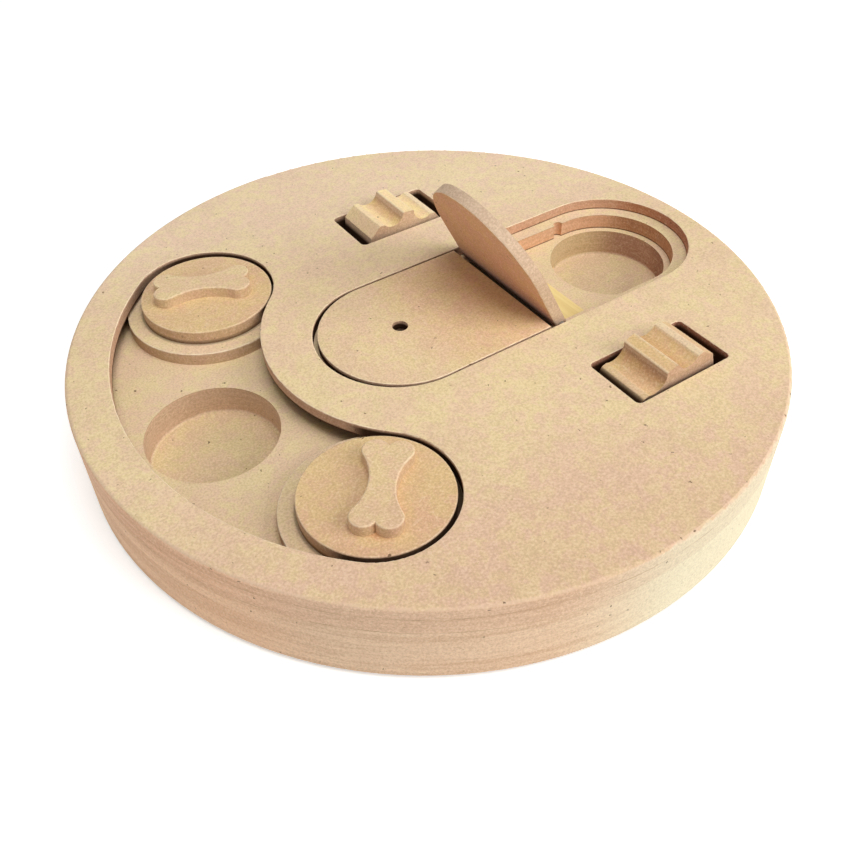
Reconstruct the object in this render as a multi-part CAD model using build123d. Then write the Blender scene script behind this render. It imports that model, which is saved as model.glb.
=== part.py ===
"""Round dog puzzle feeder: three glued fibreboard discs, two lids, two sliders, two rockers.

The board lies flat. The origin is the centre of the disc on the surface it rests on, +Z is up and
+X runs along the row of the two lids, away from the arc channel. Left is +Y. All sizes are in
millimetres.
"""
import os
from math import cos, pi, radians, sin, sqrt

from build123d import *

# Boards, from the bottom up
BOARD_DIAMETER = 240.0
BASE_THICKNESS = 21.0
GUIDE_THICKNESS = 5.8
TOP_THICKNESS = 4.2
OUTER_EDGE_ROUND = 1.2
OPENING_EDGE_ROUND = 0.4

# Grip pads in shallow pockets under the base
PAD_COUNT = 4
PAD_DIAMETER = 14.0
PAD_THICKNESS = 2.0
PAD_RECESS = 1.0
PAD_EDGE_MARGIN = 15.0
PAD_POCKET_CLEARANCE = 0.3

# Treat cups milled into the base
CUP_DIAMETER = 43.0
CUP_DEPTH = 10.5
CUP_FLOOR_ROUND = 1.0

# Arc channel on one side of the board
CHANNEL_RIM_WIDTH = 14.15
CHANNEL_HALF_ANGLE = 46.2
CHANNEL_MIDDLE_ANGLE = 179.4
SLOT_WIDTH = 49.2
SLIDER_SIDE_CLEARANCE = 1.6
LEFT_SLIDER_SETBACK = 0.3
LEFT_SLIDER_INWARD_SHIFT = 1.0
RIGHT_SLIDER_SETBACK = 0.0
RIGHT_SLIDER_INWARD_SHIFT = 0.35
FLANGE_OVERLAP = 4.0
FLANGE_CLEARANCE = 1.4

# Sliders: a flange disc under the lip, a disc in the slot and a bone-shaped knob
FLANGE_THICKNESS = 4.5
DISC_THICKNESS = 5.0
DISC_EDGE_ROUND = 0.5
BONE_THICKNESS = 4.0
BONE_LOBE_RADIUS = 4.2
BONE_LOBE_ALONG = 12.6
BONE_LOBE_ACROSS = 3.6
BONE_WAIST_WIDTH = 8.2
BONE_EDGE_ROUND = 0.6
LEFT_BONE_ANGLE = -22.0
LEFT_BONE_SHIFT = (-0.45, 1.65)
RIGHT_BONE_ANGLE = 50.0
RIGHT_BONE_SHIFT = (1.8, -0.7)

# Lid recess, a round-ended slot that runs along X from near the channel to near the rim
RECESS_WIDTH = 58.0
RECESS_RIM_WIDTH = 7.5
RECESS_CHANNEL_GAP = 16.15
LEDGE_WIDTH = 5.0
LIFT_NOTCH_RADIUS = 1.9
LIFT_NOTCH_OFFSET = 43.0

# Lids and their hinge pins
LID_THICKNESS = 4.0
LID_EDGE_ROUND = 0.4
HINGE_GAP = 6.7
HINGE_MIDDLE_OFFSET = -2.35
LONG_LID_SIDE_CLEARANCE = 0.7
LONG_LID_END_CLEARANCE = 1.7
FINGER_HOLE_DIAMETER = 5.5
FINGER_HOLE_SHIFT = (-0.6, 1.5)
SHORT_LID_SIDE_CLEARANCE = 1.8
SHORT_LID_STRAIGHT = 21.4
LID_STOP_ANGLE = 117.5
LID_STOP_CLEARANCE = 0.05
LID_PIN_DIAMETER = 2.0
LID_PIN_IN_LID = 6.0
LID_PIN_IN_BOARD = 4.0
LID_PIN_CLEARANCE = 0.08

# Sloped support under the hinge line
WEDGE_CUP_GAP = 1.35
WEDGE_TOP_LENGTH = 12.0
WEDGE_TOP_GAP = 0.4
WEDGE_SIDE_CLEARANCE = 0.2

# Rockers: a ridged block that tilts on a pin laid between the base and the guide board. The two
# holes are staggered along X about a point that is shifted from the recess's centre.
ROCKER_HOLE_LENGTH = 40.2
ROCKER_HOLE_WIDTH = 23.0
ROCKER_HOLE_CORNER = 1.8
ROCKER_SHIFT_X = 1.2
ROCKER_OFFSET_X = 11.35
ROCKER_RECESS_GAP = 21.7
ROCKER_WIDTH = 19.5
ROCKER_END_CLEARANCE = 3.7
ROCKER_RIDGE_HEIGHT = 6.2
ROCKER_RIDGE_WIDTH = 4.8
ROCKER_BUMP_HEIGHT = 2.8
ROCKER_BUMP_WIDTH = 2.0
ROCKER_BUMP_HALF_LENGTH = 12.6
ROCKER_SHOULDER_DROP = 4.4
ROCKER_SCOOP_OFFSET = 7.0
ROCKER_SCOOP_DEPTH = 1.3
ROCKER_BELOW_PIN = 8.0
ROCKER_EDGE_ROUND = 0.6
ROCKER_TILT_LIMIT = 18.0
LEFT_ROCKER_TILT = -6.0
RIGHT_ROCKER_TILT = 18.0
ROCKER_FLOOR_CLEARANCE = 0.3
ROCKER_PIN_DIAMETER = 4.0
ROCKER_PIN_SEAT = 6.0
ROCKER_PIN_CLEARANCE = 0.08

# Heights worked out from the stack
BASE_BOTTOM = PAD_THICKNESS - PAD_RECESS
BASE_TOP = BASE_BOTTOM + BASE_THICKNESS
GUIDE_TOP = BASE_TOP + GUIDE_THICKNESS
SURFACE = GUIDE_TOP + TOP_THICKNESS
HINGE_HEIGHT = GUIDE_TOP + TOP_THICKNESS / 2

# Plan sizes worked out from the driving dimensions
CHANNEL_RADIUS = BOARD_DIAMETER / 2 - CHANNEL_RIM_WIDTH - SLOT_WIDTH / 2
LONG_CUP_X = RECESS_CHANNEL_GAP + SLOT_WIDTH / 2 - CHANNEL_RADIUS + RECESS_WIDTH / 2
SHORT_CUP_X = BOARD_DIAMETER / 2 - RECESS_RIM_WIDTH - RECESS_WIDTH / 2
RECESS_CENTRE_X = (LONG_CUP_X + SHORT_CUP_X) / 2
RECESS_CENTRE_SPACING = SHORT_CUP_X - LONG_CUP_X
LEDGE_OPENING_WIDTH = RECESS_WIDTH - 2 * LEDGE_WIDTH
HINGE_MIDDLE_X = RECESS_CENTRE_X + HINGE_MIDDLE_OFFSET
LONG_HINGE_X = HINGE_MIDDLE_X - HINGE_GAP / 2
SHORT_HINGE_X = HINGE_MIDDLE_X + HINGE_GAP / 2
DISC_RADIUS = SLOT_WIDTH / 2 - SLIDER_SIDE_CLEARANCE
FLANGE_RADIUS = SLOT_WIDTH / 2 + FLANGE_OVERLAP
GUIDE_SLOT_WIDTH = 2 * (FLANGE_RADIUS + FLANGE_CLEARANCE)
LEFT_END_ANGLE = CHANNEL_MIDDLE_ANGLE - CHANNEL_HALF_ANGLE
RIGHT_END_ANGLE = CHANNEL_MIDDLE_ANGLE + CHANNEL_HALF_ANGLE
WEDGE_HALF_LENGTH = HINGE_MIDDLE_X - LONG_CUP_X - CUP_DIAMETER / 2 - WEDGE_CUP_GAP
ROCKER_OFFSET_Y = RECESS_WIDTH / 2 + ROCKER_RECESS_GAP + ROCKER_HOLE_WIDTH / 2
LEFT_ROCKER_X = RECESS_CENTRE_X + ROCKER_SHIFT_X - ROCKER_OFFSET_X
RIGHT_ROCKER_X = RECESS_CENTRE_X + ROCKER_SHIFT_X + ROCKER_OFFSET_X


def at_angle(radius, angle):
    """Plan position at this radius from the board's centre."""
    return radius * cos(radians(angle)), radius * sin(radians(angle))


def board(bottom, thickness):
    """Plain disc of the board's diameter."""
    return extrude(Pos(0, 0, bottom) * Circle(BOARD_DIAMETER / 2), thickness)


def arc_slot(width):
    """Plan of a slot that follows the channel's arc."""
    line = CenterArc((0, 0), CHANNEL_RADIUS, LEFT_END_ANGLE, 2 * CHANNEL_HALF_ANGLE)
    return SlotArc(line, width)


def recess_plan(width):
    """Plan of the round-ended lid recess."""
    return Pos(RECESS_CENTRE_X, 0) * SlotCenterToCenter(RECESS_CENTRE_SPACING, width)


def rocker_plan(x, y):
    """Plan of the hole that a rocker works in."""
    return Pos(x, y) * RectangleRounded(ROCKER_HOLE_LENGTH, ROCKER_HOLE_WIDTH, ROCKER_HOLE_CORNER)


def rocker_places():
    """Plan position of the left and the right rocker."""
    return [(LEFT_ROCKER_X, ROCKER_OFFSET_Y), (RIGHT_ROCKER_X, -ROCKER_OFFSET_Y)]


def edges_at(part, height):
    """Edges that lie in the plane at this height, from the shortest to the longest."""
    edges = part.edges().filter_by_position(Axis.Z, height - 0.001, height + 0.001)
    return edges.sort_by(SortBy.LENGTH)


def round_edges(part, height, radius, thickness):
    """Round every edge that lies in the plane at this height."""
    return fillet(edges_at(part, height), min(radius, thickness / 3))


def y_rod(x, y, z, diameter, length):
    """Round rod or drill along Y, centred on the point."""
    return Pos(x, y, z) * Rot(90, 0, 0) * Cylinder(diameter / 2, length)


def rocker_pin_length():
    return ROCKER_HOLE_WIDTH + 2 * ROCKER_PIN_SEAT


def rocker_pocket_depth():
    """Depth below the base's top that lets a lower corner of the rocker swing to its stop."""
    half_length = ROCKER_HOLE_LENGTH / 2 - ROCKER_END_CLEARANCE
    limit = radians(ROCKER_TILT_LIMIT)
    return half_length * sin(limit) + ROCKER_BELOW_PIN * cos(limit) + ROCKER_FLOOR_CLEARANCE


def base_board():
    """Thick bottom board with five cups, two rocker pockets and the seats of pins and pads."""
    part = board(BASE_BOTTOM, BASE_THICKNESS)
    part = round_edges(part, BASE_BOTTOM, OUTER_EDGE_ROUND, BASE_THICKNESS)
    cup_places = [at_angle(CHANNEL_RADIUS, angle) for angle in
                  (LEFT_END_ANGLE, CHANNEL_MIDDLE_ANGLE, RIGHT_END_ANGLE)]
    cup_places += [(LONG_CUP_X, 0), (SHORT_CUP_X, 0)]
    for x, y in cup_places:
        cup = Cylinder(CUP_DIAMETER / 2, 2 * CUP_DEPTH)
        cup = fillet(cup.edges().sort_by(Axis.Z)[0], CUP_FLOOR_ROUND)
        part -= Pos(x, y, BASE_TOP) * cup
    for x, y in rocker_places():
        part -= extrude(Pos(0, 0, BASE_TOP) * rocker_plan(x, y), -rocker_pocket_depth())
        part -= y_rod(x, y, BASE_TOP, ROCKER_PIN_DIAMETER, rocker_pin_length())
    for x, y in pad_places():
        pocket = Cylinder(PAD_DIAMETER / 2 + PAD_POCKET_CLEARANCE, 2 * PAD_RECESS)
        part -= Pos(x, y, BASE_BOTTOM) * pocket
    return part


def guide_board():
    """Middle board: the wide channel that holds the flanges, and the ledge that carries the lids."""
    part = board(BASE_TOP, GUIDE_THICKNESS)
    opening = arc_slot(GUIDE_SLOT_WIDTH) + recess_plan(LEDGE_OPENING_WIDTH)
    for x, y in rocker_places():
        opening += rocker_plan(x, y)
    for side in (1, -1):
        notch_x = RECESS_CENTRE_X + side * LIFT_NOTCH_OFFSET
        opening += Pos(notch_x, side * LEDGE_OPENING_WIDTH / 2) * Circle(LIFT_NOTCH_RADIUS)
    part -= extrude(Pos(0, 0, BASE_TOP) * opening, GUIDE_THICKNESS)
    for x, y in rocker_places():
        part -= y_rod(x, y, BASE_TOP, ROCKER_PIN_DIAMETER, rocker_pin_length())
    return part


def top_board():
    """Thin cover board: its slot's lip holds the sliders down, its walls hold the lids' pins."""
    part = board(GUIDE_TOP, TOP_THICKNESS)
    opening = arc_slot(SLOT_WIDTH) + recess_plan(RECESS_WIDTH)
    for x, y in rocker_places():
        opening += rocker_plan(x, y)
    part -= extrude(Pos(0, 0, GUIDE_TOP) * opening, TOP_THICKNESS)
    part = fillet(edges_at(part, SURFACE)[:-1], OPENING_EDGE_ROUND)
    part = fillet(edges_at(part, SURFACE)[-1], min(OUTER_EDGE_ROUND, TOP_THICKNESS / 3))
    hole_diameter = LID_PIN_DIAMETER + 2 * LID_PIN_CLEARANCE
    hole_length = RECESS_WIDTH + 2 * LID_PIN_IN_BOARD
    for x in (LONG_HINGE_X, SHORT_HINGE_X):
        part -= y_rod(x, 0, HINGE_HEIGHT, hole_diameter, hole_length)
    return part


def pad_places():
    """Plan positions of the grip pads, evenly round the base and clear of the lid axis."""
    radius = BOARD_DIAMETER / 2 - PAD_EDGE_MARGIN - PAD_DIAMETER / 2
    return [at_angle(radius, 360 * (index + 0.5) / PAD_COUNT) for index in range(PAD_COUNT)]


def grip_pads():
    """Soft pads that stand a little proud of the base."""
    pad = Cylinder(PAD_DIAMETER / 2, PAD_THICKNESS)
    pad = fillet(pad.edges().sort_by(Axis.Z)[0], PAD_THICKNESS / 5)
    return Compound([Pos(x, y, PAD_THICKNESS / 2) * pad for x, y in pad_places()])


def lid_wedge():
    """Ridge across the recess, under the hinge line, that slopes down towards both cups."""
    height = GUIDE_THICKNESS - WEDGE_TOP_GAP
    half_foot = WEDGE_HALF_LENGTH
    half_top = WEDGE_TOP_LENGTH / 2
    profile = Polygon((-half_foot, 0), (half_foot, 0), (half_top, height), (-half_top, height),
                      align=None)
    width = LEDGE_OPENING_WIDTH - 2 * WEDGE_SIDE_CLEARANCE
    prism = extrude(Plane.XZ * profile, width / 2, both=True)
    return Pos(HINGE_MIDDLE_X, 0, BASE_TOP) * prism


def heel_length():
    """How far the top of a lid runs on behind its pins.

    At the stop angle this corner has swung down onto the ledge and holds the lid up.
    """
    opened = radians(LID_STOP_ANGLE)
    half = LID_THICKNESS / 2
    reach_down = HINGE_HEIGHT - GUIDE_TOP - LID_STOP_CLEARANCE
    length = (reach_down + half * cos(opened)) / sin(opened)
    return min(max(length, half / 4), half)


def shut_lid(straight, half_width):
    """Lid that lies along +X from its pins on the Y axis, with a half-round end.

    Its heel is round below, so that it turns clear of the ledge, and square on top.
    """
    end = Circle(half_width) & Pos(half_width / 2, 0) * Rectangle(half_width, 2 * half_width)
    plan = Pos(straight / 2, 0) * Rectangle(straight, 2 * half_width) + Pos(straight, 0) * end
    half = LID_THICKNESS / 2
    lid = extrude(Pos(0, 0, -half) * plan, LID_THICKNESS)
    lid += y_rod(0, 0, 0, LID_THICKNESS, 2 * half_width)
    lid += Pos(-heel_length() / 2, 0, half / 2) * Box(heel_length(), 2 * half_width, half)
    lid = round_edges(lid, half, LID_EDGE_ROUND, LID_THICKNESS)
    for side in (1, -1):
        hole_centre = side * (half_width - LID_PIN_IN_LID / 2)
        lid -= y_rod(0, hole_centre, 0, LID_PIN_DIAMETER, LID_PIN_IN_LID)
    return lid


def lid_pins(hinge_x, half_width):
    """Two short steel pins, pressed into the lid's side edges and running in the top board."""
    length = LID_PIN_IN_LID + (RECESS_WIDTH / 2 - half_width) + LID_PIN_IN_BOARD
    length -= LID_PIN_CLEARANCE
    centre = half_width - LID_PIN_IN_LID + length / 2
    return Compound([y_rod(hinge_x, side * centre, HINGE_HEIGHT, LID_PIN_DIAMETER, length)
                     for side in (1, -1)])


def long_lid():
    """Full-length lid, lying shut over its cup, with a hand-drilled finger hole near its middle."""
    half_width = RECESS_WIDTH / 2 - LONG_LID_SIDE_CLEARANCE
    round_x = LONG_CUP_X - LONG_LID_SIDE_CLEARANCE + LONG_LID_END_CLEARANCE
    straight = LONG_HINGE_X - round_x
    lid = shut_lid(straight, half_width)
    hole = Cylinder(FINGER_HOLE_DIAMETER / 2, 2 * LID_THICKNESS)
    lid -= Pos(straight + FINGER_HOLE_SHIFT[0], FINGER_HOLE_SHIFT[1], 0) * hole
    return Pos(LONG_HINGE_X, 0, HINGE_HEIGHT) * mirror(lid, Plane.YZ)


def short_lid():
    """Short D-shaped lid, modelled shut. It leaves the far end of its cup open to the nose."""
    half_width = RECESS_WIDTH / 2 - SHORT_LID_SIDE_CLEARANCE
    return Pos(SHORT_HINGE_X, 0, HINGE_HEIGHT) * shut_lid(SHORT_LID_STRAIGHT, half_width)


def swung_open(part):
    """Turn a piece of the short lid about its hinge, from shut to standing."""
    return part.rotate(Axis((SHORT_HINGE_X, 0, HINGE_HEIGHT), (0, -1, 0)), LID_STOP_ANGLE)


def bone_plan():
    """Bone outline along X: four round lobes joined by two hollow sides, all arcs tangent."""
    waist = BONE_WAIST_WIDTH / 2
    rise = waist - BONE_LOBE_ACROSS
    # The side arc touches the lobe: (side + lobe)^2 = along^2 + (side + rise)^2
    side_radius = ((BONE_LOBE_ALONG ** 2 + rise ** 2 - BONE_LOBE_RADIUS ** 2)
                   / (2 * (BONE_LOBE_RADIUS - rise)))
    side_centre = waist + side_radius
    share = BONE_LOBE_RADIUS / (BONE_LOBE_RADIUS + side_radius)
    touch = Vector(BONE_LOBE_ALONG * (1 - share),
                   BONE_LOBE_ACROSS + (side_centre - BONE_LOBE_ACROSS) * share)
    cleft = BONE_LOBE_ALONG + sqrt(BONE_LOBE_RADIUS ** 2 - BONE_LOBE_ACROSS ** 2)
    tip = Vector(BONE_LOBE_ALONG, BONE_LOBE_ACROSS) + Vector(1, 1).normalized() * BONE_LOBE_RADIUS
    side = ThreePointArc((-touch.X, touch.Y), (0, waist), (touch.X, touch.Y))
    lobe = ThreePointArc((touch.X, touch.Y), (tip.X, tip.Y), (cleft, 0))
    upper = side + lobe + mirror(lobe, Plane.YZ)
    outline = upper + mirror(upper, Plane.XZ)
    return make_face(outline.edges())


def slider(angle, inward_shift, bone_angle, bone_shift):
    """Flange disc, upper disc and knob of one slider, each a separate piece glued to the next.

    The knob sits a little off the disc's centre.
    """
    x, y = at_angle(CHANNEL_RADIUS - inward_shift, angle)
    flange_top = BASE_TOP + FLANGE_THICKNESS
    disc_top = flange_top + DISC_THICKNESS
    flange = extrude(Pos(x, y, BASE_TOP) * Circle(FLANGE_RADIUS), FLANGE_THICKNESS)
    flange = round_edges(flange, flange_top, DISC_EDGE_ROUND, FLANGE_THICKNESS)
    disc = extrude(Pos(x, y, flange_top) * Circle(DISC_RADIUS), DISC_THICKNESS)
    disc = round_edges(disc, disc_top, DISC_EDGE_ROUND, DISC_THICKNESS)
    bone_place = Pos(x + bone_shift[0], y + bone_shift[1], disc_top) * Rot(0, 0, bone_angle)
    bone = extrude(bone_place * bone_plan(), BONE_THICKNESS)
    bone = round_edges(bone, disc_top + BONE_THICKNESS, BONE_EDGE_ROUND, BONE_THICKNESS)
    return flange, disc, bone


def rocker_profile():
    """Side view of a rocker, pin at the origin: a flat ridge, then a scoop, a narrow bump and a
    slope on either side of it.
    """
    surface = SURFACE - BASE_TOP
    half_length = ROCKER_HOLE_LENGTH / 2 - ROCKER_END_CLEARANCE
    ridge = surface + ROCKER_RIDGE_HEIGHT
    bump = surface + ROCKER_BUMP_HEIGHT
    shoulder = bump - ROCKER_SHOULDER_DROP
    half_ridge = ROCKER_RIDGE_WIDTH / 2
    scoop_low = (ROCKER_SCOOP_OFFSET, bump - ROCKER_SCOOP_DEPTH)
    scoop_end = (ROCKER_BUMP_HALF_LENGTH - ROCKER_BUMP_WIDTH, bump)
    scoop = ThreePointArc((half_ridge, ridge), scoop_low, scoop_end)
    rest = Polyline(scoop_end, (ROCKER_BUMP_HALF_LENGTH, bump), (half_length, shoulder),
                    (half_length, -ROCKER_BELOW_PIN), (0, -ROCKER_BELOW_PIN))
    half = Line((0, ridge), (half_ridge, ridge)) + scoop + rest
    outline = half + mirror(half, Plane.YZ)
    bore = Circle(ROCKER_PIN_DIAMETER / 2 + ROCKER_PIN_CLEARANCE)
    return make_face(outline.edges()) - bore


def rocker(x, y, tilt):
    """Rocker on its pin, with its +X end raised by the tilt angle."""
    block = extrude(Plane.XZ * rocker_profile(), ROCKER_WIDTH / 2, both=True)
    ridges = block.edges().filter_by(Axis.Y).filter_by_position(Axis.Z, SURFACE - BASE_TOP, 1000)
    block = fillet(ridges, ROCKER_EDGE_ROUND)
    return Pos(x, y, BASE_TOP) * Rot(0, -tilt, 0) * block


def rocker_pin(x, y):
    """Dowel pin, half in the base and half in the guide board."""
    return y_rod(x, y, BASE_TOP, ROCKER_PIN_DIAMETER, rocker_pin_length())


def build():
    """Every piece of the feeder by its name."""
    long_half_width = RECESS_WIDTH / 2 - LONG_LID_SIDE_CLEARANCE
    short_half_width = RECESS_WIDTH / 2 - SHORT_LID_SIDE_CLEARANCE
    pieces = {
        "base_board": base_board(),
        "guide_board": guide_board(),
        "top_board": top_board(),
        "lid_wedge": lid_wedge(),
        "grip_pads": grip_pads(),
        "long_lid": long_lid(),
        "long_lid_pins": lid_pins(LONG_HINGE_X, long_half_width),
        "short_lid": swung_open(short_lid()),
        "short_lid_pins": swung_open(lid_pins(SHORT_HINGE_X, short_half_width)),
    }
    sliders = {
        "left": slider(LEFT_END_ANGLE + LEFT_SLIDER_SETBACK, LEFT_SLIDER_INWARD_SHIFT,
                       LEFT_BONE_ANGLE, LEFT_BONE_SHIFT),
        "right": slider(RIGHT_END_ANGLE - RIGHT_SLIDER_SETBACK, RIGHT_SLIDER_INWARD_SHIFT,
                        RIGHT_BONE_ANGLE, RIGHT_BONE_SHIFT),
    }
    for side, (flange, disc, bone) in sliders.items():
        pieces[side + "_slider_flange"] = flange
        pieces[side + "_slider_disc"] = disc
        pieces[side + "_slider_bone"] = bone
    tilts = (LEFT_ROCKER_TILT, RIGHT_ROCKER_TILT)
    for side, place, tilt in zip(("left", "right"), rocker_places(), tilts):
        pieces[side + "_rocker"] = rocker(*place, tilt)
        pieces[side + "_rocker_pin"] = rocker_pin(*place)
    return pieces


if __name__ == "__main__":
    os.makedirs("parts", exist_ok=True)
    for name, piece in build().items():
        export_step(piece, f"parts/{name}.step")
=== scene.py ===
"""Round dog puzzle feeder in bare fibreboard, dressed and lit for a product picture.

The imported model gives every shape. This script gives each piece its procedural material, adds
the floor, the lamps and the camera, and leaves the frame as it is.

Lengths are in metres, apart from those that a material works with. Those are in millimetres, in
the coordinates that the pieces have at rest, so that a mark stays on its piece in every pose.
"""
import math

import bpy
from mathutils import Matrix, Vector

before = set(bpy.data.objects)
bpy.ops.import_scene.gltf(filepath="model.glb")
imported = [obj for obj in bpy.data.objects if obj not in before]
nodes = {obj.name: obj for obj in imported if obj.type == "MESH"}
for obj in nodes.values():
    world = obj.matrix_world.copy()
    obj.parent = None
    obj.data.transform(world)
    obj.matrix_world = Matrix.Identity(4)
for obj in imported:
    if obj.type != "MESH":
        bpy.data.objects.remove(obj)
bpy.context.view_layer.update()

MM = 0.001

# Linear colours of the bare board. Pressed faces lie between two tones, and a routed wall is
# browner than the sanded outer side.
FACE_YELLOW = (0.800, 0.640, 0.365)
FACE_PINK = (0.790, 0.575, 0.388)
SIDE_COLOR = (0.800, 0.580, 0.400)
BAND_COLOR = (0.760, 0.525, 0.360)
WALL_COLOR = (0.590, 0.375, 0.255)
GUIDE_WALL = (0.660, 0.410, 0.250)
ROCKER_WALL = (0.600, 0.390, 0.285)
SHORT_LID_EDGE = (0.660, 0.480, 0.340)
# Pale colour of rounded edges, partly wear and partly painted highlight; also the painted
# highlights on the rockers' ridges and bumps
WEAR_AND_HIGHLIGHT_COLOR = (0.880, 0.740, 0.530)
RIM_COLOR = (0.700, 0.500, 0.350)
FIBRE_DARK = (0.430, 0.270, 0.150)
FIBRE_PALE = (0.860, 0.720, 0.500)
SPECK_COLOR = (0.110, 0.055, 0.025)
# Near-black brown of the painted shade in gaps, corners, holes and under lips
PAINTED_SHADE_COLOR = (0.034, 0.013, 0.005)
WEDGE_COLOR = (0.860, 0.670, 0.290)
DOWEL_COLOR = (0.700, 0.520, 0.310)
WHITE = (1.0, 1.0, 1.0)

# Tints, by which a colour is multiplied
PLAIN = (1.0, 1.0, 1.0)
DISC_TONE = (0.925, 0.840, 0.740)
BONE_TONE = (0.965, 0.930, 0.890)
LONG_LID_TONE = (0.980, 0.970, 0.950)
# Painted shade: the short lid is made redder and darker all over, for the shade on its face when
# it stands open
SHORT_LID_PAINTED_SHADE_TONE = (0.870, 0.650, 0.630)
LEFT_ROCKER_TONE = (1.180, 1.180, 0.990)
RIGHT_ROCKER_TONE = (0.980, 0.870, 0.720)
SHADE_TINT = (0.955, 0.950, 0.955)
BROAD_BAND_TINT = (0.900, 0.850, 0.820)
STREAK_TINT = (0.840, 0.790, 0.760)
GRAIN_TINT = (0.850, 0.830, 0.810)
# Painted light: the outer side is paler and creamier where the light falls full on it, and its
# shaded end gets a painted warm bounce
SIDE_PAINTED_LIGHT_TINT = (0.995, 1.255, 1.335)
SHADED_SIDE_PAINTED_BOUNCE_TINT = (1.130, 1.040, 0.990)
# Painted shade in the rockers' scoops
SCOOP_PAINTED_SHADE_TINT = (0.800, 0.700, 0.610)
STAIN_TINT = (0.980, 0.830, 0.700)
WOOD_GRAIN_TINT = (0.800, 0.720, 0.620)

# The face is painted a little darker and pinker towards one side of the board, as painted shade,
# and paler away from it, as painted light. The pairs are the distances from the middle where a
# tint begins and where it is full.
NEAR_WAY = (-0.26, -0.966, 0.0)
NEAR_REACH = (40.0, 118.0)
NEAR_PAINTED_SHADE_TINT = (0.900, 0.825, 0.865)
FAR_REACH = (-25.0, -85.0)
FAR_PAINTED_LIGHT_TINT = (1.080, 1.095, 1.190)

# Levels of the boards' upper faces. The two lower ones are glue lines.
TOP_FACE = 32.0
GUIDE_FACE = 27.8
BASE_FACE = 22.0
OUTER_SIDE_RADIUS = 117.0

# Channel of the sliders: its middle radius, its ends and the slot above it
CHANNEL_RADIUS = 81.25
CHANNEL_END = (-56.3, 58.6)
CHANNEL_SLOPE = math.tan(math.radians(46.2))
SLOT_HALF_WIDTH = 24.6
DISC_RADIUS = 23.0
FAR_OFF = 1000.0

# Each slider's centre at rest, and the way from there to the end of its slot
LEFT_SLIDER = ((-55.24, 58.21, 0.0), (0.725, 0.688, 0.0))
RIGHT_SLIDER = ((-56.60, -57.80, 0.0), (0.714, -0.700, 0.0))
STAIN = ((-62.4, -69.5, 31.5), 7.0)

# Recess of the lids: how far the long lid reaches, where the hinge lies and the open end
LID_HALF_WIDTH = 34.0
LID_END_X = -43.0
HINGE_X = (35.0, 31.0)
OPEN_END_X = 36.0
OPEN_END_HALF_WIDTH = 36.0
# Painted shadow on the wedge: a dark strip in X under the gap at the lids' hinge
WEDGE_PAINTED_SHADOW_X = (31.5, 38.0)

# Rocker holes lie outside this distance from the X axis and inside this radius
ROCKER_Y = 45.0
ROCKER_REACH = 105.0
LEFT_PIN = (25.85, 62.2, 22.0)
LEFT_TILT = -6.0
RIGHT_PIN = (48.55, -62.2, 22.0)
RIGHT_TILT = 18.0

# A rocker's painted shade in its scoops and painted highlights on its ridge and bumps, as
# distances along it from its pin: where each mark comes in, from nothing to full, and where it
# goes out
SCOOP = ((1.8, 3.0), (8.5, 4.0))
RIDGE = ((1.2, 2.2), (3.0, 2.4))
END_BUMP = ((9.6, 10.8), (13.4, 12.8))

# The short lid stands open at rest: the way across its faces, and the way from hinge to tip
SHORT_LID_OPEN = math.radians(117.5)
SHORT_LID_UP = (math.sin(SHORT_LID_OPEN), 0.0, -math.cos(SHORT_LID_OPEN))
FLAP_WAY = (math.cos(SHORT_LID_OPEN), 0.0, math.sin(SHORT_LID_OPEN))

# Fades: a way, the distances along it where a tint begins and is full, and the tint
ALONG_X = (1.0, 0.0, 0.0)
AGAINST_X = (-1.0, 0.0, 0.0)
UP = (0.0, 0.0, 1.0)
DOWN = (0.0, 0.0, -1.0)
RECESS_WAY = (0.500, -0.866, 0.0)
CUP_FLOORS = ((DOWN, -21.8, -21.0, (0.900, 0.895, 0.860)),)
# Painted light and shade on routed walls: the middle cup's wall, the recess's cup wall, the
# ledge's wall and the recess's wall are made paler where light falls on them and darker where
# shade falls
MIDDLE_CUP_WALL_PAINTED_LIGHT = ((AGAINST_X, 50.0, 56.0, (1.180, 1.320, 1.350)),)
RECESS_CUP_WALL_PAINTED_LIGHT_AND_SHADE = ((ALONG_X, 40.0, 52.0, (1.240, 1.500, 1.270)),
                   (RECESS_WAY, 26.0, 42.0, (0.700, 0.550, 0.690)),
                   (RECESS_WAY, 52.0, 60.0, (0.780, 0.680, 0.680)))
LEDGE_WALL_PAINTED_LIGHT_AND_SHADE = ((ALONG_X, 40.0, 60.0, (1.180, 1.130, 1.140)),
              (RECESS_WAY, 31.0, 43.0, (0.690, 0.610, 0.570)))
RECESS_WALL_PAINTED_LIGHT_AND_SHADE = ((ALONG_X, 40.0, 60.0, (1.150, 1.080, 1.050)),
               (RECESS_WAY, 30.0, 45.0, (0.820, 0.650, 0.560)),
               (RECESS_WAY, 45.0, 58.0, (0.860, 0.800, 0.900)))
# Painted shadow of the standing short lid on the long lid, coming in from X -18 to 10 mm, then
# painted light from 10 to 20 mm near its hinge
LONG_LID_PAINTED_SHADOW_AND_LIGHT = ((ALONG_X, -18.0, 10.0, (0.950, 0.870, 0.830)),
                 (ALONG_X, 10.0, 20.0, (1.120, 1.100, 1.080)))
# Painted shade on the short lid's face, darker towards its heel at the hinge
SHORT_LID_PAINTED_HEEL_SHADE = ((FLAP_WAY, 24.0, 11.0, (0.750, 0.725, 0.870)),)

# Angle in degrees, and stretch, of the three layers of single fibres on a board
FIBRE_WAYS = ((20.0, (5.0, 0.55, 1.0)), (-48.0, (4.2, 0.50, 1.0)), (78.0, (4.6, 0.50, 1.0)))


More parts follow.
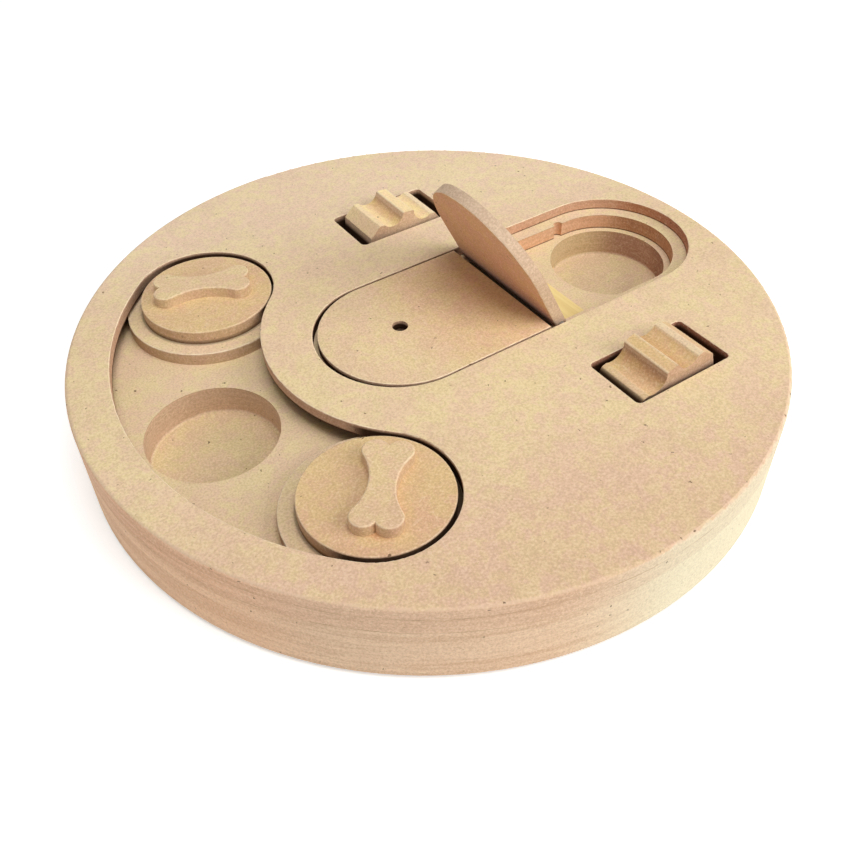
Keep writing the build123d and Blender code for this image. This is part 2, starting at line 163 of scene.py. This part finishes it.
class Graph:
    """Short spelling for a material's nodes, and the places that its marks are made from.

    `place` is the point at rest, in millimetres, with `x`, `y` and `z` its parts and `plan` its
    distance from the board's middle in plan. `where` is the same point, shifted so that no two
    pieces share one pattern.
    """

    def __init__(self, name, shift=(0.0, 0.0, 0.0)):
        self.material = bpy.data.materials.new(name)
        self.material.use_nodes = True
        self.tree = self.material.node_tree
        self.shader = next(n for n in self.tree.nodes if n.type == "BSDF_PRINCIPLED")
        coords = self.add("ShaderNodeTexCoord")
        self.normal = coords.outputs["Normal"]
        self.place = self.vector("SCALE", coords.outputs["Object"], scale=1.0 / MM)
        self.where = self.vector("ADD", self.place, shift)
        spot = self.add("ShaderNodeSeparateXYZ")
        self.feed(spot, Vector=self.place)
        self.x, self.y, self.z = (spot.outputs[axis] for axis in "XYZ")
        self.plan = self.length(self.vector("MULTIPLY", self.place, (1.0, 1.0, 0.0)))

    def add(self, kind, **settings):
        node = self.tree.nodes.new(kind)
        for key, value in settings.items():
            setattr(node, key, value)
        return node

    def plug(self, socket, value):
        """Link a socket, or set its value, which has no alpha where it is a colour."""
        if isinstance(value, bpy.types.NodeSocket):
            self.tree.links.new(value, socket)
        elif socket.type == "RGBA":
            socket.default_value = (*value, 1.0)
        else:
            socket.default_value = value

    def feed(self, node, **inputs):
        for key, value in inputs.items():
            self.plug(node.inputs[key.replace("_", " ")], value)

    def math(self, operation, *values):
        node = self.add("ShaderNodeMath", operation=operation)
        for socket, value in zip(node.inputs, values):
            self.plug(socket, value)
        return node.outputs[0]

    def product(self, *factors):
        total = factors[0]
        for factor in factors[1:]:
            total = self.math("MULTIPLY", total, factor)
        return total

    def most(self, *values):
        total = values[0]
        for value in values[1:]:
            total = self.math("MAXIMUM", total, value)
        return total

    def away(self, value, level):
        """How far a value lies from a level, either way."""
        return self.math("ABSOLUTE", self.math("SUBTRACT", value, level))

    def vector(self, operation, *values, scale=None):
        node = self.add("ShaderNodeVectorMath", operation=operation)
        for socket, value in zip(node.inputs, values):
            self.plug(socket, value)
        if scale is not None:
            self.feed(node, Scale=scale)
        return node.outputs["Value" if operation in ("DOT_PRODUCT", "LENGTH") else "Vector"]

    def length(self, value):
        return self.vector("LENGTH", value)

    def along(self, value, way):
        """How far a point lies along a way."""
        return self.vector("DOT_PRODUCT", value, way)

    def noise(self, where, scale, detail=3.0, roughness=0.55, distortion=0.0):
        node = self.add("ShaderNodeTexNoise")
        self.feed(node, Vector=where, Scale=scale, Detail=detail, Roughness=roughness,
                  Distortion=distortion)
        return node.outputs["Fac"]

    def ramp(self, value, low, high, first=0.0, last=1.0):
        """Smooth step of value from low to high, mapped to first..last."""
        node = self.add("ShaderNodeMapRange", interpolation_type="SMOOTHSTEP")
        self.feed(node, Value=value, From_Min=low, From_Max=high, To_Min=first, To_Max=last)
        return node.outputs[0]

    def band(self, value, rise, fall):
        """1 between two ramps."""
        return self.product(self.ramp(value, *rise), self.ramp(value, *fall))

    def mix(self, factor, first, second, blend="MIX"):
        node = self.add("ShaderNodeMix", data_type="RGBA", blend_type=blend)
        self.plug(node.inputs[0], factor)
        self.plug(node.inputs[6], first)
        self.plug(node.inputs[7], second)
        return node.outputs[2]

    def tinted(self, color, factor, tint):
        """Colour multiplied by a tint, as far as the factor says."""
        return self.mix(factor, color, self.mix(1.0, color, tint, "MULTIPLY"))

    def faded(self, color, fades):
        """Colour under each of the fades."""
        for way, first, last, tint in fades:
            color = self.tinted(color, self.ramp(self.along(self.place, way), first, last), tint)
        return color

    def turned(self, where, angle, stretch):
        """Coordinates turned about Z and squeezed, for marks that run one way."""
        node = self.add("ShaderNodeMapping", vector_type="TEXTURE")
        self.feed(node, Vector=where, Rotation=(0.0, 0.0, math.radians(angle)), Scale=stretch)
        return node.outputs[0]

    def bump(self, height, distance, strength):
        node = self.add("ShaderNodeBump")
        self.feed(node, Height=height, Distance=distance, Strength=strength)
        return node.outputs[0]


def specks(graph, cell, size, share):
    """Dark flecks of bark, irregular in shape and spacing. 1 in a fleck, 0 outside."""
    warp = graph.add("ShaderNodeTexNoise")
    graph.feed(warp, Vector=graph.where, Scale=1.1, Detail=2.0)
    push = graph.vector("SUBTRACT", warp.outputs["Color"], (0.5, 0.5, 0.5))
    push = graph.vector("SCALE", push, scale=1.8)
    cells = graph.add("ShaderNodeTexVoronoi", feature="F1")
    graph.feed(cells, Vector=graph.vector("ADD", graph.where, push), Scale=1.0 / cell)
    picks = graph.add("ShaderNodeSeparateColor")
    graph.feed(picks, Color=cells.outputs["Color"])
    spread = graph.math("MULTIPLY_ADD", picks.outputs[1], 0.5, 0.5)
    reach = graph.math("MULTIPLY", spread, size / cell)
    inside = graph.math("SUBTRACT", reach, cells.outputs["Distance"])
    mark = graph.ramp(inside, 0.0, 0.35 * size / cell)
    return graph.product(mark, graph.math("LESS_THAN", picks.outputs[0], share))


def channel_distance(graph):
    """Distances in plan from the middle line of the sliders' channel and from its ends."""
    x, y = graph.x, graph.math("ABSOLUTE", graph.y)
    across = graph.math("SUBTRACT", x, CHANNEL_END[0])
    along = graph.math("SUBTRACT", y, CHANNEL_END[1])
    from_end = graph.math("SQRT", graph.math("ADD", graph.product(across, across),
                                             graph.product(along, along)))
    past_end = graph.math("GREATER_THAN", y, graph.math("MULTIPLY", x, -CHANNEL_SLOPE))
    from_arc = graph.math("MULTIPLY_ADD", past_end, FAR_OFF,
                          graph.away(graph.plan, CHANNEL_RADIUS))
    return graph.math("MINIMUM", from_end, from_arc), from_end


def rocker_holes(graph):
    """1 round the rockers' holes, 0 elsewhere."""
    return graph.product(
        graph.math("GREATER_THAN", graph.math("ABSOLUTE", graph.y), ROCKER_Y),
        graph.math("GREATER_THAN", graph.x, 0.0),
        graph.math("LESS_THAN", graph.plan, ROCKER_REACH))


def wall_foot_painted_shade(graph, level):
    """Painted shade: a thin dark line low on a wall, in the corner where it stands on a level in
    the recess's open end.
    """
    return graph.product(
        graph.math("GREATER_THAN", graph.x, OPEN_END_X),
        graph.math("LESS_THAN", graph.math("ABSOLUTE", graph.y), OPEN_END_HALF_WIDTH),
        graph.ramp(graph.z, level + 0.6, level + 0.3, 0.0, 0.7))


def slot_end_half(graph, point, way):
    """1 on the half of a slider that lies in the end of its slot."""
    return graph.ramp(graph.along(point, way), -9.0, -3.0)


# Painted shade: where a piece is painted dark for the shade in its gaps, corners, holes and
# under lips, from 0 to 1. Each is a function of the graph.

def top_painted_shade(graph):
    """Painted shade low on the slot's wall, high at its ends, in the rocker holes and round the
    lid.
    """
    distance, from_end = channel_distance(graph)
    slot = graph.math("LESS_THAN", distance, SLOT_HALF_WIDTH + 1.0)
    low = graph.product(slot, graph.ramp(graph.z, GUIDE_FACE + 1.1, GUIDE_FACE + 0.1))
    ends = graph.product(slot, graph.ramp(from_end, 32.0, 27.0),
                         graph.ramp(graph.z, TOP_FACE - 0.3, TOP_FACE - 1.4),
                         graph.ramp(graph.x, -76.0, -54.0, 0.30, 1.0))
    holes = graph.product(rocker_holes(graph),
                          graph.ramp(graph.z, TOP_FACE - 0.6, TOP_FACE - 2.6))
    lid = graph.product(
        graph.math("LESS_THAN", graph.math("ABSOLUTE", graph.y), LID_HALF_WIDTH),
        graph.math("GREATER_THAN", graph.x, LID_END_X),
        graph.ramp(graph.x, *HINGE_X),
        graph.ramp(graph.z, TOP_FACE - 0.4, TOP_FACE - 1.2))
    return graph.most(low, ends, holes, lid, wall_foot_painted_shade(graph, GUIDE_FACE))


def guide_painted_shade(graph):
    """Painted shade on the channel's undercut walls and in the rocker holes, not on the lids'
    ledge.
    """
    distance, _ = channel_distance(graph)
    channel = graph.math("LESS_THAN", distance, SLOT_HALF_WIDTH + 6.5)
    return graph.most(graph.math("MULTIPLY", channel, 0.85), rocker_holes(graph),
                      wall_foot_painted_shade(graph, BASE_FACE))


def base_painted_shade(graph):
    """Painted shade on the channel's floor under the slot's lip, and in the rocker pockets."""
    distance, _ = channel_distance(graph)
    lip = graph.product(
        graph.ramp(distance, SLOT_HALF_WIDTH + 0.2, SLOT_HALF_WIDTH + 4.2, 0.0, 0.7),
        graph.math("LESS_THAN", distance, SLOT_HALF_WIDTH + 8.0))
    not_below = graph.math("GREATER_THAN", graph.z, 5.0)
    return graph.product(graph.most(lip, rocker_holes(graph)), not_below)


def disc_painted_shade(centre, way):
    """Painted shade low on the disc's side, and higher on the half that lies in the slot's end.
    """
    def painted_shade(graph):
        half = slot_end_half(graph, graph.vector("SUBTRACT", graph.place, centre), way)
        high = graph.product(half, graph.ramp(graph.z, 31.2, 30.7, 0.0, 0.9))
        return graph.most(high, graph.ramp(graph.z, 28.4, 26.9, 0.0, 0.7))
    return painted_shade


def flange_painted_shade(centre, way):
    """Painted shade: a dark ring on the flange close round its disc, darker in the gap at the
    slot's end.
    """
    def painted_shade(graph):
        flat = graph.vector("MULTIPLY", graph.place, (1.0, 1.0, 0.0))
        point = graph.vector("SUBTRACT", flat, centre)
        from_centre = graph.length(point)
        gap = graph.ramp(from_centre, DISC_RADIUS + 1.9, DISC_RADIUS + 1.4, 0.0, 0.95)
        ring = graph.ramp(from_centre, DISC_RADIUS + 1.2, DISC_RADIUS + 0.3, 0.0, 0.45)
        return graph.most(graph.product(slot_end_half(graph, point, way), gap), ring)
    return painted_shade


def lid_gap_painted_shade(graph):
    """Painted shade in the gap round the long lid: dark between its upper and lower edges, where
    it faces the recess.
    """
    return graph.band(graph.z, (28.2, 28.8), (31.2, 30.4))


def rocker_painted_shade(graph):
    """Painted shade where the rocker goes down into its hole."""
    return graph.ramp(graph.z, TOP_FACE - 1.3, TOP_FACE - 3.3)


def pressed_face(graph, clumps, tone, fades, stain):
    """Colour of a pressed face: yellow and pink clumps of fibre under broad clouds, with painted
    shade towards one side and painted light towards the other, then the fades.
    """
    clouds = graph.noise(graph.where, 0.05, detail=3.0, roughness=0.6)
    shade = graph.noise(graph.vector("ADD", graph.where, (37.0, 11.0, 5.0)), 0.07, detail=3.0)
    lively = graph.product(graph.math("SUBTRACT", clumps, 0.5),
                           graph.ramp(shade, 0.38, 0.60, 1.3, 0.7))
    blend = graph.math("MULTIPLY_ADD", clouds, 0.60, graph.math("ADD", lively, 0.20))
    face = graph.mix(graph.ramp(blend, 0.34, 0.66), FACE_PINK, FACE_YELLOW)
    face = graph.tinted(face, graph.ramp(shade, 0.44, 0.66, 0.0, 0.8), SHADE_TINT)
    # Painted shade on the near side and painted light on the far side
    near = graph.along(graph.place, NEAR_WAY)
    face = graph.tinted(face, graph.ramp(near, *NEAR_REACH), NEAR_PAINTED_SHADE_TINT)
    face = graph.tinted(face, graph.ramp(near, *FAR_REACH), FAR_PAINTED_LIGHT_TINT)
    face = graph.faded(face, fades)
    if stain:
        centre, reach = stain
        from_centre = graph.length(graph.vector("SUBTRACT", graph.place, centre))
        ragged = graph.math("MULTIPLY_ADD", clumps, 0.6 * reach, from_centre)
        face = graph.tinted(face, graph.ramp(ragged, 1.25 * reach, 0.5 * reach), STAIN_TINT)
    return face if tone == PLAIN else graph.tinted(face, 1.0, tone)


def cut_edge(graph, outer, wall, fades, streaks, marks):
    """Colour of cut edges: the sanded outer side in two bands, with painted light on one part and
    painted warm bounce on another, and browner routed walls under painted light and shade.
    """
    side = graph.mix(graph.ramp(graph.z, BASE_FACE - 0.5, BASE_FACE + 0.5),
                     SIDE_COLOR, BAND_COLOR)
    # Painted light on the lit part of the outer side, and painted warm bounce on its shaded end
    painted_light = graph.product(graph.ramp(graph.x, -42.0, 6.0), graph.ramp(graph.y, 10.0, -50.0))
    side = graph.tinted(side, painted_light, SIDE_PAINTED_LIGHT_TINT)
    side = graph.tinted(side, graph.ramp(graph.x, -85.0, -108.0), SHADED_SIDE_PAINTED_BOUNCE_TINT)
    flat = graph.vector("MULTIPLY", graph.where, (0.012, 0.012, 0.28))
    broad = graph.product(graph.ramp(graph.noise(flat, 1.0, detail=1.5), 0.42, 0.64),
                          graph.math("SUBTRACT", 1.0, painted_light))
    side = graph.tinted(side, broad, BROAD_BAND_TINT)
    edge = graph.mix(outer, graph.faded(wall, fades), side)

    flat = graph.vector("MULTIPLY", graph.where, (0.06, 0.06, 0.9))
    layers = graph.noise(flat, 1.0, detail=4.0, roughness=0.65)
    # Layer streaks are fainter under the painted light
    fainter = graph.math("MULTIPLY_ADD", graph.product(outer, painted_light), -0.7, 1.0)
    layers = graph.product(graph.ramp(layers, 0.40, 0.68, 0.0, streaks), fainter)
    edge = graph.tinted(edge, layers, STREAK_TINT)
    flat = graph.vector("MULTIPLY", graph.where, (0.12, 0.12, 2.6))
    scratch = graph.noise(flat, 1.0, detail=2.0)
    return graph.mix(graph.ramp(scratch, 0.58, 0.72, 0.0, marks), edge, FIBRE_PALE)


def rocker_painted_light_and_shade(graph, color, facing, pin, way):
    """Painted shade browns the scoops and painted highlights pale the ridge and bumps, on a
    rocker that lies along a way at its pin.
    """
    signed = graph.along(graph.vector("SUBTRACT", graph.place, pin), way)
    along = graph.math("ABSOLUTE", signed)
    above = graph.ramp(facing, 0.20, 0.40)
    color = graph.tinted(color, graph.product(above, graph.band(along, *SCOOP)), SCOOP_PAINTED_SHADE_TINT)
    bump = graph.product(graph.band(along, *END_BUMP), graph.ramp(signed, -5.0, 5.0, 0.4, 1.0))
    painted_highlight = graph.most(graph.band(along, *RIDGE), bump)
    return graph.mix(graph.product(above, painted_highlight, 0.55), color, WEAR_AND_HIGHLIGHT_COLOR)


def fibres(graph, color, clumps):
    """Colour with grain and single fibres lying every way, and the height that they give."""
    grain = graph.noise(graph.where, 1.5, detail=3.0, roughness=0.6)
    color = graph.tinted(color, graph.ramp(grain, 0.58, 0.34, 0.0, 0.95), GRAIN_TINT)
    color = graph.mix(graph.ramp(grain, 0.52, 0.72, 0.0, 0.35), color, FIBRE_PALE)
    height = graph.math("ADD", graph.math("MULTIPLY", clumps, 0.8), grain)
    for angle, stretch in FIBRE_WAYS:
        strand = graph.noise(graph.turned(graph.where, angle, stretch), 0.8, detail=2.0,
                             roughness=0.5)
        color = graph.mix(graph.ramp(strand, 0.62, 0.78, 0.0, 0.20), color, FIBRE_DARK)
        color = graph.mix(graph.ramp(strand, 0.38, 0.24, 0.0, 0.26), color, FIBRE_PALE)
        height = graph.math("MULTIPLY_ADD", strand, 0.35, height)
    return color, height


def worn_and_highlit_edges(graph, color, facing, outer, edge_paleness):
    """Rounded edges are paler in patches, partly worn and partly a painted highlight, less so on
    the outer rim, which takes a darker rim colour.
    """
    wear_and_highlight = graph.product(graph.ramp(facing, 0.995, 0.94), graph.ramp(facing, 0.30, 0.60))
    patches = graph.ramp(graph.noise(graph.where, 0.25, detail=3.0), 0.38, 0.60, 0.25, 0.80)
    patches = graph.product(patches, graph.math("MULTIPLY_ADD", outer, -0.3 * edge_paleness, edge_paleness))
    return graph.mix(graph.product(wear_and_highlight, patches), color,
                     graph.mix(outer, WEAR_AND_HIGHLIGHT_COLOR, RIM_COLOR))


def glue_lines(graph, color, cut, outer):
    """Glue lines: thin and broken on the outer side, steady on the walls inside."""
    broken = graph.ramp(graph.noise(graph.where, 0.09, detail=3.0), 0.47, 0.60, 0.10, 0.75)
    strength = graph.most(broken, graph.math("SUBTRACT", 0.75, outer))
    for level in (GUIDE_FACE, BASE_FACE):
        line = graph.product(graph.ramp(graph.away(graph.z, level), 0.26, 0.06), cut)
        color = graph.mix(graph.product(line, strength), color, FIBRE_DARK)
    return color


def fibreboard(name, shift, tone=PLAIN, wall=WALL_COLOR, up=UP, wall_share=1.0, edge_paleness=1.0,
               streaks=0.60, marks=0.10, fades=(), wall_painted_light_and_shade=(), saddle=None, stain=None,
               painted_shade=None):
    """Bare medium density fibreboard: pressed face across `up`, cut edge elsewhere.

    `tone` tints the face, and `wall` is the colour of routed walls, as far as `wall_share` says.
    The edge setting is how far rounded edges are made pale, partly as wear and partly as painted
    highlight, `streaks` how strongly the layers show on cut edges and `marks` how strongly pale
    tool marks do. `fades` tint the face, some of them with painted light and shade, and the wall
    fades paint light and shade on the walls. `saddle` is a rocker's pin and long way, for its
    painted shade and highlights, `stain` the centre and radius of an orange stain on the face,
    and the last setting gives the painted shade: where the piece is painted dark for the shade
    in its gaps, corners and holes.
    """
    graph = Graph(name, shift)
    facing = graph.math("ABSOLUTE", graph.along(graph.normal, up))
    cut = graph.math("MULTIPLY", graph.ramp(facing, 0.85, 0.45), wall_share)
    outer = graph.math("GREATER_THAN", graph.plan, OUTER_SIDE_RADIUS)
    clumps = graph.noise(graph.where, 0.21, detail=4.0, roughness=0.60, distortion=0.5)

    color = graph.mix(cut, pressed_face(graph, clumps, tone, fades, stain),
                      cut_edge(graph, outer, wall, wall_painted_light_and_shade, streaks, marks))
    if saddle:
        color = rocker_painted_light_and_shade(graph, color, facing, *saddle)
    color, height = fibres(graph, color, clumps)
    color = worn_and_highlit_edges(graph, color, facing, outer, edge_paleness)
    color = glue_lines(graph, color, cut, outer)

    dark = specks(graph, 4.3, 0.50, 0.50)
    faint = specks(graph, 2.9, 0.38, 0.55)
    color = graph.mix(graph.math("MULTIPLY", dark, 0.82), color, SPECK_COLOR)
    color = graph.mix(graph.math("MULTIPLY", faint, 0.50), color, FIBRE_DARK)
    height = graph.math("SUBTRACT", height, graph.math("MULTIPLY", dark, 0.8))
    gloss = 0.2
    # Painted shade: the colour goes near black where shade falls in gaps, corners and holes, and
    # the gloss is lowered there
    if painted_shade:
        painted_dark = painted_shade(graph)
        color = graph.mix(graph.math("MULTIPLY", painted_dark, 0.96), color, PAINTED_SHADE_COLOR)
        gloss = graph.math("MULTIPLY_ADD", painted_dark, -0.17, gloss)

    graph.feed(graph.shader, Base_Color=color, Roughness=graph.ramp(clumps, 0.3, 0.7, 0.74, 0.88),
               Specular_IOR_Level=gloss, Normal=graph.bump(height, 0.06 * MM, 0.8))
    return graph.material


def light_wood(name, shift, base, painted_shadow_x=None):
    """Pale softwood, planed, with fine grain along Y, and a painted shadow: a dark strip between
    two places in X.
    """
    graph = Graph(name, shift)
    lines = graph.vector("MULTIPLY", graph.where, (1.0, 0.06, 1.0))
    grain = graph.noise(lines, 0.9, detail=5.0, roughness=0.6, distortion=0.35)
    rings = graph.noise(lines, 0.17, detail=2.0)
    dark = tuple(c * k for c, k in zip(base, WOOD_GRAIN_TINT))
    color = graph.mix(graph.ramp(grain, 0.45, 0.75, 0.0, 0.45), base, dark)
    color = graph.mix(graph.ramp(rings, 0.52, 0.64, 0.0, 0.35), color, dark)
    # Painted shadow: a dark strip across X
    if painted_shadow_x:
        first, last = painted_shadow_x
        strip = graph.band(graph.x, (first - 1.0, first + 0.5), (last + 1.0, last - 0.5))
        color = graph.mix(graph.math("MULTIPLY", strip, 0.9), color, PAINTED_SHADE_COLOR)
    graph.feed(graph.shader, Base_Color=color, Roughness=graph.ramp(grain, 0.3, 0.7, 0.55, 0.72),
               Specular_IOR_Level=0.3, Normal=graph.bump(grain, 0.03 * MM, 0.7))
    return graph.material


def steel(name):
    """Drawn steel pin with fine scratches round it."""
    graph = Graph(name)
    lines = graph.noise(graph.vector("MULTIPLY", graph.where, (0.4, 6.0, 0.4)), 1.0, detail=3.0)
    color = graph.mix(graph.ramp(lines, 0.3, 0.7), (0.36, 0.36, 0.35), (0.50, 0.50, 0.49))
    graph.feed(graph.shader, Base_Color=color, Metallic=1.0,
               Roughness=graph.ramp(lines, 0.3, 0.7, 0.28, 0.42),
               Normal=graph.bump(lines, 0.01 * MM, 0.5))
    return graph.material


def rubber(name):
    """Soft grip pad, matte and slightly dusty."""
    graph = Graph(name, (3.0, 8.0, 1.0))
    dust = graph.noise(graph.where, 0.5, detail=4.0)
    pores = graph.noise(graph.where, 3.5, detail=2.0)
    color = graph.mix(graph.ramp(dust, 0.4, 0.8, 0.0, 0.5), (0.030, 0.028, 0.026),
                      (0.075, 0.068, 0.060))
    graph.feed(graph.shader, Base_Color=color, Roughness=graph.ramp(dust, 0.3, 0.7, 0.65, 0.85),
               Normal=graph.bump(pores, 0.06 * MM, 0.8))
    return graph.material


def rocker_look(pin, tilt):
    """Settings that follow a rocker's tilt at rest: its upward way, its pin and its long way."""
    turn = math.radians(tilt)
    return dict(up=(-math.sin(turn), 0.0, math.cos(turn)),
                saddle=(pin, (math.cos(turn), 0.0, math.sin(turn))), wall=ROCKER_WALL,
                wall_share=0.75, edge_paleness=0.0, streaks=0.25, painted_shade=rocker_painted_shade)


def dress(name, material):
    """Put one material on a CAD node."""
    for slot in nodes[name].material_slots:
        slot.material = material


BOARDS = {
    "base_board": dict(shift=(0.0, 0.0, 0.0), fades=CUP_FLOORS,
                       wall_painted_light_and_shade=MIDDLE_CUP_WALL_PAINTED_LIGHT + RECESS_CUP_WALL_PAINTED_LIGHT_AND_SHADE,
                       edge_paleness=0.15, marks=0.40, painted_shade=base_painted_shade),
    "guide_board": dict(shift=(311.0, 57.0, 19.0), wall=GUIDE_WALL, wall_painted_light_and_shade=LEDGE_WALL_PAINTED_LIGHT_AND_SHADE,
                        painted_shade=guide_painted_shade),
    "top_board": dict(shift=(0.0, 140.0, 63.0), wall_painted_light_and_shade=RECESS_WALL_PAINTED_LIGHT_AND_SHADE, painted_shade=top_painted_shade),
    "long_lid": dict(shift=(90.0, 410.0, 5.0), tone=LONG_LID_TONE, fades=LONG_LID_PAINTED_SHADOW_AND_LIGHT,
                     painted_shade=lid_gap_painted_shade),
    "short_lid": dict(shift=(510.0, 33.0, 71.0), up=SHORT_LID_UP, wall=SHORT_LID_EDGE,
                      tone=SHORT_LID_PAINTED_SHADE_TONE, fades=SHORT_LID_PAINTED_HEEL_SHADE, streaks=0.3),
    "left_slider_flange": dict(shift=(55.0, 620.0, 9.0), wall_share=0.6,
                               painted_shade=flange_painted_shade(*LEFT_SLIDER)),
    "left_slider_disc": dict(shift=(705.0, 17.0, 33.0), tone=DISC_TONE, wall_share=0.5, edge_paleness=0.4,
                             painted_shade=disc_painted_shade(*LEFT_SLIDER)),
    "left_slider_bone": dict(shift=(35.0, 820.0, 3.0), tone=BONE_TONE, wall_share=0.3,
                             edge_paleness=0.35),
    "right_slider_flange": dict(shift=(907.0, 11.0, 27.0), wall_share=0.6,
                                painted_shade=flange_painted_shade(*RIGHT_SLIDER)),
    "right_slider_disc": dict(shift=(23.0, 990.0, 15.0), tone=DISC_TONE, wall_share=0.5, edge_paleness=0.4,
                              stain=STAIN, painted_shade=disc_painted_shade(*RIGHT_SLIDER)),
    "right_slider_bone": dict(shift=(1010.0, 73.0, 43.0), tone=BONE_TONE, wall_share=0.3,
                              edge_paleness=0.35),
    "left_rocker": dict(shift=(81.0, 1130.0, 31.0), tone=LEFT_ROCKER_TONE,
                        **rocker_look(LEFT_PIN, LEFT_TILT)),
    "right_rocker": dict(shift=(1270.0, 29.0, 51.0), tone=RIGHT_ROCKER_TONE,
                         **rocker_look(RIGHT_PIN, RIGHT_TILT)),
}
for node, settings in BOARDS.items():
    dress(node, fibreboard("board_" + node, **settings))
dress("lid_wedge", light_wood("wedge_wood", (5.0, 2.0, 7.0), WEDGE_COLOR, WEDGE_PAINTED_SHADOW_X))
for node in ("left_rocker_pin", "right_rocker_pin"):
    dress(node, light_wood("dowel_wood", (15.0, 42.0, 4.0), DOWEL_COLOR))
for node in ("long_lid_pins", "short_lid_pins"):
    dress(node, steel("pin_steel"))
dress("grip_pads", rubber("pad_rubber"))


def seen_rays(tree):
    """1 for rays that show the surround: straight, mirrored or through glass."""
    path = tree.nodes.new("ShaderNodeLightPath")
    total = path.outputs["Is Camera Ray"]
    for name in ("Is Glossy Ray", "Is Transmission Ray"):
        either = tree.nodes.new("ShaderNodeMath")
        either.operation = "MAXIMUM"
        tree.links.new(total, either.inputs[0])
        tree.links.new(path.outputs[name], either.inputs[1])
        total = either.outputs[0]
    return total


def mixed_shader(tree, factor, first, second):
    """One shader turning into another with the factor."""
    mixed = tree.nodes.new("ShaderNodeMixShader")
    for socket, source in zip(mixed.inputs, (factor, first, second)):
        tree.links.new(source, socket)
    return mixed.outputs[0]


def add_floor():
    """Pale floor that takes the object's shadow and is plain white further away."""
    bpy.ops.mesh.primitive_plane_add(size=12.0, location=(0.0, 0.0, 0.0))
    floor = bpy.context.object
    floor.name = "floor"
    graph = Graph("floor_pale")
    tree = graph.tree
    graph.feed(graph.shader, Base_Color=(0.92, 0.92, 0.92), Roughness=0.9,
               Specular_IOR_Level=0.1)
    glow = graph.add("ShaderNodeEmission")
    graph.feed(glow, Color=WHITE, Strength=0.42)
    lit = graph.add("ShaderNodeAddShader")
    tree.links.new(graph.shader.outputs[0], lit.inputs[0])
    tree.links.new(glow.outputs[0], lit.inputs[1])
    white = graph.add("ShaderNodeEmission")
    graph.feed(white, Color=WHITE, Strength=1.0)
    far = mixed_shader(tree, graph.ramp(graph.length(graph.place), 500.0, 900.0),
                       lit.outputs[0], white.outputs[0])
    output = next(n for n in tree.nodes if n.type == "OUTPUT_MATERIAL")
    tree.links.new(mixed_shader(tree, seen_rays(tree), graph.shader.outputs[0], far),
                   output.inputs["Surface"])
    floor.data.materials.append(graph.material)


def add_world():
    """Even pale surround, plain white to the camera and in mirrors."""
    world = bpy.data.worlds.new("studio")
    bpy.context.scene.world = world
    world.use_nodes = True
    tree = world.node_tree
    light = tree.nodes["Background"]
    light.inputs["Color"].default_value = (1.0, 0.985, 0.96, 1.0)
    light.inputs["Strength"].default_value = 0.20
    white = tree.nodes.new("ShaderNodeBackground")
    white.inputs["Color"].default_value = (*WHITE, 1.0)
    tree.links.new(mixed_shader(tree, seen_rays(tree), light.outputs[0], white.outputs[0]),
                   tree.nodes["World Output"].inputs["Surface"])


def add_lamp(name, place, size, power, color=WHITE):
    """Square soft box aimed at the object."""
    data = bpy.data.lights.new(name, "AREA")
    data.shape = "SQUARE"
    data.size = size
    data.energy = power
    data.color = color
    lamp = bpy.data.objects.new(name, data)
    lamp.location = place
    aim = Vector((0.0, 0.0, 0.02)) - Vector(place)
    lamp.rotation_euler = aim.to_track_quat("-Z", "Y").to_euler()
    bpy.context.scene.collection.objects.link(lamp)


def add_camera():
    """The picture's own viewpoint, lens and tilt."""
    data = bpy.data.cameras.new("camera")
    data.sensor_width = 36.0
    data.lens = 39.794
    data.clip_start = 0.01
    data.clip_end = 30.0
    camera = bpy.data.objects.new("camera", data)
    camera.location = (-0.14231, -0.21419, 0.22755)
    camera.rotation_euler = tuple(math.radians(a) for a in (46.2233, 0.9973, -34.2290))
    bpy.context.scene.collection.objects.link(camera)
    bpy.context.scene.camera = camera


add_floor()
add_world()
add_lamp("side", (0.68, -0.97, 0.62), size=1.0, power=12.5, color=(1.0, 0.985, 0.955))
add_lamp("top", (0.0, -0.20, 1.12), size=0.65, power=7.0)
add_lamp("fill", (-1.1, -0.20, 0.30), size=0.9, power=2.6)
add_camera()
bpy.context.scene.view_settings.view_transform = "Standard"
